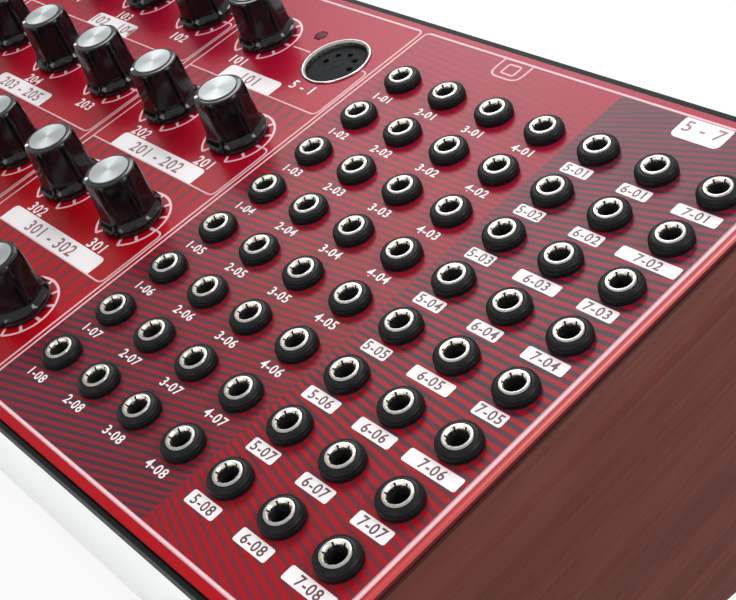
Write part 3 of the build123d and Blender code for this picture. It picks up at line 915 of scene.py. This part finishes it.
def patchbay_lines():
    """Line round the patchbay and round the tab of its inputs."""
    right = panel_width / 2 - border_side
    high = panel_height - border_rear
    side = [(right, border_front + border_inset), (right, high - border_inset)]
    low = high - input_tab_depth
    tab = [
        (input_tab_left, high), (input_tab_left, low),
        (input_tab_right, low), (input_tab_right, high),
    ]
    mark = [
        (input_mark_left, high - input_mark_low), (input_mark_right, high - input_mark_low),
        (input_mark_right, high - input_mark_high), (input_mark_left, high - input_mark_high),
    ]
    return [
        frame_line(patchbay_left, right, border_front, high, "patchbay_line"),
        line("patchbay_line_side", side, side_line_width),
        line("input_tab", tab, divider_width, False, input_tab_corner),
        line("input_tab_inner", mark, divider_width, True, input_mark_corner),
    ]


def block_lines():
    """Lines round the blocks of the knob field, between their sections and beside their knobs."""
    pieces = []
    high = panel_height - border_rear
    right = patchbay_left - patchbay_gap
    for number, edge in enumerate(block_edges):
        left = cell_place(edge, 0)[0] + block_inset
        pieces.append(frame_line(left, right, border_front, high, f"block_{number}_line"))
        inner = right - section_line_inset
        for row in range(3):
            v = cell_place(0, row)[1]
            low = v - section_drop
            path = [(right - section_line_reach, v), (inner, v), (inner, low), (left, low)]
            pieces.append(line(f"block_{number}_section_{row}", path, section_line_width))
        right = left - block_gap
    knob_x, socket_x = cell_place(1, 0)[0], cell_place(0, 0)[0]
    v = cell_place(0, 0)[1]
    between = [(knob_x + socket_line_from_knob, v), (socket_x - socket_line_from_socket, v)]
    pieces.append(line("socket_line", between, section_line_width))
    return pieces


def printed_tile(name, width, length, corner, x, v, lift=0.0):
    """Flat printed patch at its place on the panel."""
    piece = tile(name, width, length, ink_lift, corner)
    piece.data.transform(Matrix.Translation((x, v, lift)))
    return piece


def section_plates():
    """White plates on the section lines, their upper corners rounded."""
    pieces = []
    for number, (column, width, row) in enumerate(section_spans):
        x, v = cell_place(column, row)
        low = v - section_drop
        middle = low + section_plate_depth / 2
        name = f"section_plate_{number}"
        size = (width, section_plate_depth, section_plate_corner)
        pieces.append(printed_tile(name, *size, x, middle))
        middle = low + section_foot_depth / 2
        name = f"section_foot_{number}"
        size = (width, section_foot_depth, 0.0)
        pieces.append(printed_tile(name, *size, x, middle, 2 * overprint_lift))
    return pieces


def output_plates():
    """White plates under the output sockets, and the tab of the outputs."""
    widths = (
        (6.6, 6.8, 9.6), (6.3, 6.8, 12.9), (6.2, 9.8, 7.6), (6.6, 6.8, 9.2),
        (6.2, 9.8, 6.6), (8.2, 9.0, 12.2), (7.0, 7.8, 8.0), (7.8, 8.2, 10.8),
    )
    pieces = []
    for row, line_widths in enumerate(widths):
        for column, width in enumerate(line_widths, input_columns):
            x, v = jack_place(column, row)
            name = f"output_plate_{row}_{column}"
            place = (x + label_shift, v - label_drop)
            pieces.append(printed_tile(name, width, plate_height, plate_corner, *place))
    tab_v = panel_height - border_rear - output_tab_drop
    tab_size = (output_tab_width, output_tab_depth, output_tab_corner)
    pieces.append(printed_tile("output_tab", *tab_size, output_tab_place, tab_v))
    return pieces


def scale_print():
    """Arc with its ticks round one knob, open towards the front."""
    inner, outer = scale_radius - scale_width / 2, scale_radius + scale_width / 2
    arc = turned("scale_arc", [(inner, ink_lift), (outer, ink_lift)], 72, False, False)
    bpy.ops.object.mode_set(mode="EDIT")
    half_gap = (math.tau - scale_turn) / 2
    select_where(lambda place: abs(math.atan2(place.x, -place.y)) < half_gap + scale_slack)
    bpy.ops.mesh.delete(type="FACE")
    bpy.ops.object.mode_set(mode="OBJECT")
    pieces = [arc]
    for step in range(tick_count):
        turn = scale_turn / 2 - step * scale_turn / (tick_count - 1)
        tick = tile(f"tick_{step}", tick_width, tick_length, ink_lift, 0.0)
        offset = Matrix.Translation((0, scale_radius - tick_length / 2, overprint_lift))
        tick.data.transform(Matrix.Rotation(turn, 4, "Z") @ offset)
        pieces.append(tick)
    return joined(pieces, "scale")


def number_text(label, height, lift):
    """Plain number as a flat mesh, centred on the origin."""
    bpy.ops.object.select_all(action="DESELECT")
    bpy.ops.object.text_add(location=(0, 0, 0))
    piece = bpy.context.active_object
    piece.data.body = label
    piece.data.size = height / digit_height_share
    piece.data.align_x = "CENTER"
    piece.data.align_y = "CENTER"
    piece.data.resolution_u = 3
    piece.data.space_character = 1.12
    piece.data.offset = digit_weight_share * height
    bpy.ops.object.convert(target="MESH")
    piece = bpy.context.active_object
    piece.data.transform(Matrix.Translation((0, 0, lift)))
    return piece


def numbers(labels, height, lift, name):
    """Plain numbers at their places, joined."""
    pieces = []
    for label, x, v in labels:
        piece = number_text(label, height, lift)
        piece.data.transform(Matrix.Translation((x, v, 0)))
        pieces.append(piece)
    return joined(pieces, name)


def knob_number(count):
    """Printed number of a knob: its row from the rear, then its place in the row."""
    for row, columns in enumerate(knob_cells, 1):
        if count <= len(columns):
            return f"{row}{count:02d}"
        count -= len(columns)


def section_labels():
    """Numbers of the first and the last knob above each section plate."""
    table = [(column, row) for row, columns in enumerate(knob_cells) for column in columns]
    labels = []
    for middle, _, row in section_spans:
        right = max([0.0] + [edge for edge in block_edges if edge < middle])
        left = min(edge for edge in block_edges if edge > middle)
        inside = [n for n, (column, r) in enumerate(table, 1) if r == row and right <= column < left]
        x, v = cell_place(middle, row)
        text = " - ".join(knob_number(inside[index]) for index in (0, -1)[:len(inside)])
        labels.append((text, x, v - section_drop + section_label_rise))
    return labels


def lay_on_panel(piece, finish):
    """Bring flat print from the panel's own plane to its place, and ink it."""
    piece.data.transform(panel_matrix)
    dress(piece, finish)
    finish_piece(piece, "case", "panel")


def socket_labels(first, last):
    """Column and row of each socket between two columns, under the socket."""
    labels = []
    for row in range(jack_rows):
        for column in range(first, last):
            x, v = jack_place(column, row)
            text = f"{column + 1}-{row + 1:02d}"
            labels.append((text, x + label_shift, v - label_drop - label_lead))
    return labels


def knob_labels():
    """Number of each knob under its scale, and one under the round socket."""
    places = enumerate(cells(knob_cells), 1)
    labels = [(knob_number(count), x, v - knob_label_drop) for count, (x, v) in places]
    socket_x, socket_v = cell_place(0, 0)
    return labels + [("5 - 1", socket_x, socket_v - socket_label_drop)]


def printing():
    """All that is printed on the panel."""
    lay_on_panel(joined(patchbay_lines() + block_lines(), "panel_print_lines"), line_ink)
    lay_on_panel(joined(section_plates() + output_plates(), "panel_print_plates"), white_ink)
    scale = scale_print()
    dress(scale, line_ink)
    places = [on_panel(x, v - scale_drop) for x, v in cells(knob_cells)]
    lay_out(scale, places, "panel_print_scales", "panel")
    titles = numbers(section_labels(), section_label_height, text_lift, "panel_print_sections")
    tab_number = ("5 - 7", output_tab_place, panel_height - border_rear - tab_label_drop)
    tab = numbers([tab_number], tab_label_height, text_lift, "panel_print_tab")
    lay_on_panel(joined([titles, tab], "panel_print_sections"), faded_ink)
    inputs, outputs = socket_labels(0, input_columns), socket_labels(input_columns, jack_columns)
    lay_on_panel(numbers(inputs, label_height, ink_lift, "panel_print_inputs"), white_ink)
    lay_on_panel(numbers(outputs, label_height, text_lift, "panel_print_outputs"), dark_ink)
    lay_on_panel(numbers(knob_labels(), knob_label_height, ink_lift, "panel_print_knobs"), white_ink)


def screw_model(length):
    """Round-headed screw with a six-sided recess, about the Z axis."""
    shank = [(1.45, -length), (1.45, 0.0)]
    head = [(2.75, 0.0), (2.75, 0.6), (2.5, 1.15), (1.9, 1.55), (1.5, 1.6)]
    screw = turned("screw", shank + head, 24, close_last=False)
    recess = turned("screw_recess", [(1.5, 1.6), (1.3, 1.55), (1.3, 0.6)], 6, False, True)
    whole = joined([screw, recess], "screw_model")
    smooth(whole, 35)
    dress(whole, black_steel)
    return whole


def cheek_screw_place(side, x, y, z):
    """Matrix of a screw that goes through the case's side wall into a cheek, its head inside."""
    turn = Matrix.Rotation(math.radians(-90 * side), 4, "Y")
    return Matrix.Translation((x * mm, y * mm, z * mm)) @ turn @ Matrix.Scale(mm, 4)


def screws():
    """Screws of the panel, the rear wall and the cheeks."""
    signs = (-1, 1)
    side = panel_width / 2 - panel_screw_side
    heights = (panel_screw_edge, panel_height - panel_screw_edge)
    places = [on_panel(sign * side, v) for sign in signs for v in heights]
    panel_screws = spread(screw_model(4.0), places, "panel_screws")
    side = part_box("lower_case")[1].x / mm - case_sheet
    front = (panel_origin.y / mm + cheek_screw_front, cheek_screw_front_z)
    rear = (plate_high.y / mm - cheek_screw_rear, cheek_screw_rear_z)
    places = [cheek_screw_place(sign, sign * side, y, z) for sign in signs for y, z in (front, rear)]
    cheek_screws = spread(screw_model(6.0), places, "cheek_screws")
    side = plate_high.x / mm - rear_screw_side
    heights = (plate_low.z + rear_screw_low * mm, plate_high.z - rear_screw_high * mm)
    places = [at_rear(sign * side, z) for sign in signs for z in heights]
    rear_screws = spread(screw_model(6.0), places, "rear_screws")
    whole = joined([panel_screws, cheek_screws, rear_screws], "screws_dressed")
    finish_piece(whole, "case", "screw_black", "case_screws")


def feet():
    """Turned rubber feet."""
    low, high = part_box("rubber_feet")
    height = (high.z - low.z) / mm
    profile = [(5.2, 0.0), (5.8, 0.35), (6.0, 1.2), (6.3, height)]
    foot = turned_part("foot", profile, 36, 30, rubber)
    inset = foot_inset * mm
    scale = Matrix.Scale(mm, 4)
    places = [
        Matrix.Translation((x, y, 0)) @ scale
        for x in (low.x + inset, high.x - inset)
        for y in (low.y + inset, high.y - inset)
    ]
    lay_out(foot, places, "feet_dressed", "rubber", "rubber_feet")


def rear_nuts():
    """Hexagonal nuts and washers of the audio sockets, on the rear wall."""
    washer_profile = [(8.2, 0.0), (8.2, 0.45), (6.7, 0.45), (6.7, 0.0)]
    washer = turned_part("audio_washer", washer_profile, 40, 25, steel, False, False)
    nut_profile = [(7.4, 0.45), (7.4, 2.2), (7.0, 2.5), (6.6, 2.5), (6.6, 0.45)]
    nut = turned_part("audio_nut", nut_profile, 6, 25, steel, False, False)
    lip_profile = [(6.45, 0.0), (6.45, 2.9), (6.2, 3.05), (3.6, 3.05), (3.2, 2.6), (3.2, -12.0)]
    lip = turned_part("audio_lip", lip_profile, 40, 25, socket_plastic, False)
    whole = joined([washer, nut, lip], "audio_front")
    low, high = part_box("audio_sockets")
    z = (low.z + high.z) / 2
    places = [at_rear(offset - io_board_width / 2, z) for offset in audio_from_board_edge]
    lay_out(whole, places, "audio_fronts", "component_metal")


def assign_cad_finishes():
    """Materials of the CAD nodes that stay."""
    table = {
        "front_panel": red_lacquer, "top_frame": frame_paint, "rear_plate": frame_black,
        "lower_case": case_paint, "cheek_left": wood, "cheek_right": wood,
        "patch_jacks": bore_dark, "potentiometers": steel, "button_switches": socket_plastic,
        "panel_board": laminate, "board_spacers": steel, "io_board": laminate,
        "audio_sockets": socket_plastic, "usb_socket": steel, "power_inlet": socket_plastic,
        "power_switch": socket_plastic, "power_rocker": knob_black,
    }
    for name, finish in table.items():
        dress(nodes[name], finish)


def seen_share(tree):
    """1 for the rays that look at a surface straight, in a mirror or through glass, else 0."""
    path = tree.nodes.new("ShaderNodeLightPath")
    share = path.outputs["Is Camera Ray"]
    for ray in ("Is Glossy Ray", "Is Transmission Ray"):
        node = tree.nodes.new("ShaderNodeMath")
        node.operation = "MAXIMUM"
        tree.links.new(share, node.inputs[0])
        tree.links.new(path.outputs[ray], node.inputs[1])
        share = node.outputs[0]
    return share


def stage():
    """Pale floor."""
    bpy.ops.object.select_all(action="DESELECT")
    bpy.ops.mesh.primitive_plane_add(size=6, location=(0, 0, -0.0002))
    floor = bpy.context.active_object
    floor.name = "floor"
    finish = Finish("floor_white", 0.9, specular=0.0)
    finish.colour(linear(246, 246, 246))
    tree = finish.tree
    glow = finish.node("ShaderNodeEmission")
    glow.inputs["Strength"].default_value = 1.0
    mix = finish.node("ShaderNodeMixShader")
    share = finish.times(seen_share(tree), floor_glow_share)
    for socket, value in zip(mix.inputs, (share, finish.shader.outputs[0], glow.outputs[0])):
        finish.feed(socket, value)
    finish.feed(tree.nodes["Material Output"].inputs["Surface"], mix.outputs[0])
    floor.data.materials.append(finish.material)


def area_lamp(name, place, target, size, watts):
    """Soft rectangular lamp aimed at a point."""
    lamp = bpy.data.lights.new(name, "AREA")
    lamp.shape = "RECTANGLE"
    lamp.size, lamp.size_y = size
    lamp.energy = watts
    holder = add_object(name, lamp)
    holder.location = place
    holder.rotation_euler = (Vector(target) - Vector(place)).to_track_quat("-Z", "Y").to_euler()


def lights():
    """Soft studio light and a white surrounding."""
    area_lamp("key_light", (-0.78, 0.56, 1.1), (-0.78, 0.54, 0.0), (0.9, 0.75), 15.0)
    area_lamp("fill_light", (1.1, 0.4, 0.96), (0.15, 0, 0.07), (0.5, 0.5), 8.0)
    area_lamp("front_light", (0.34, -1.13, 0.5), (0.05, 0, 0.05), (0.7, 0.3), 3.0)
    world = bpy.data.worlds.new("surrounding")
    world.use_nodes = True
    tree = world.node_tree
    level = tree.nodes.new("ShaderNodeMapRange")
    level.inputs["To Min"].default_value = 0.62
    level.inputs["To Max"].default_value = 1.0
    tree.links.new(seen_share(tree), level.inputs["Value"])
    tree.links.new(level.outputs[0], tree.nodes["Background"].inputs["Strength"])
    tree.nodes["Background"].inputs["Color"].default_value = (1, 1, 1, 1)
    bpy.context.scene.world = world


def camera():
    """Camera at the photograph's place, set out in the panel's own frame."""
    image_width = 736
    focal_pixels = 1353.5
    eye = Vector((319.2, -29.95, 156.65))
    right = Vector((0.6526, 0.7018, -0.2856)).normalized()
    forward = Vector((-0.6732, 0.3641, -0.6436)).normalized()
    up = right.cross(forward).normalized()
    axes = Matrix((right, up, -forward)).transposed().to_4x4()
    data = bpy.data.cameras.new("camera")
    data.sensor_width = 36.0
    data.lens = data.sensor_width * focal_pixels / image_width
    data.clip_start = 0.01
    holder = add_object("camera", data)
    holder.matrix_world = Matrix.Translation(panel_matrix @ eye) @ panel_turn @ axes
    bpy.context.scene.camera = holder


camera()
stage()
lights()
assign_cad_finishes()
patch_rings()
patch_nuts()
knobs()
buttons()
lamps()
round_sockets()
printing()
screws()
feet()
rear_nuts()
bpy.context.scene.view_settings.view_transform = "Standard"
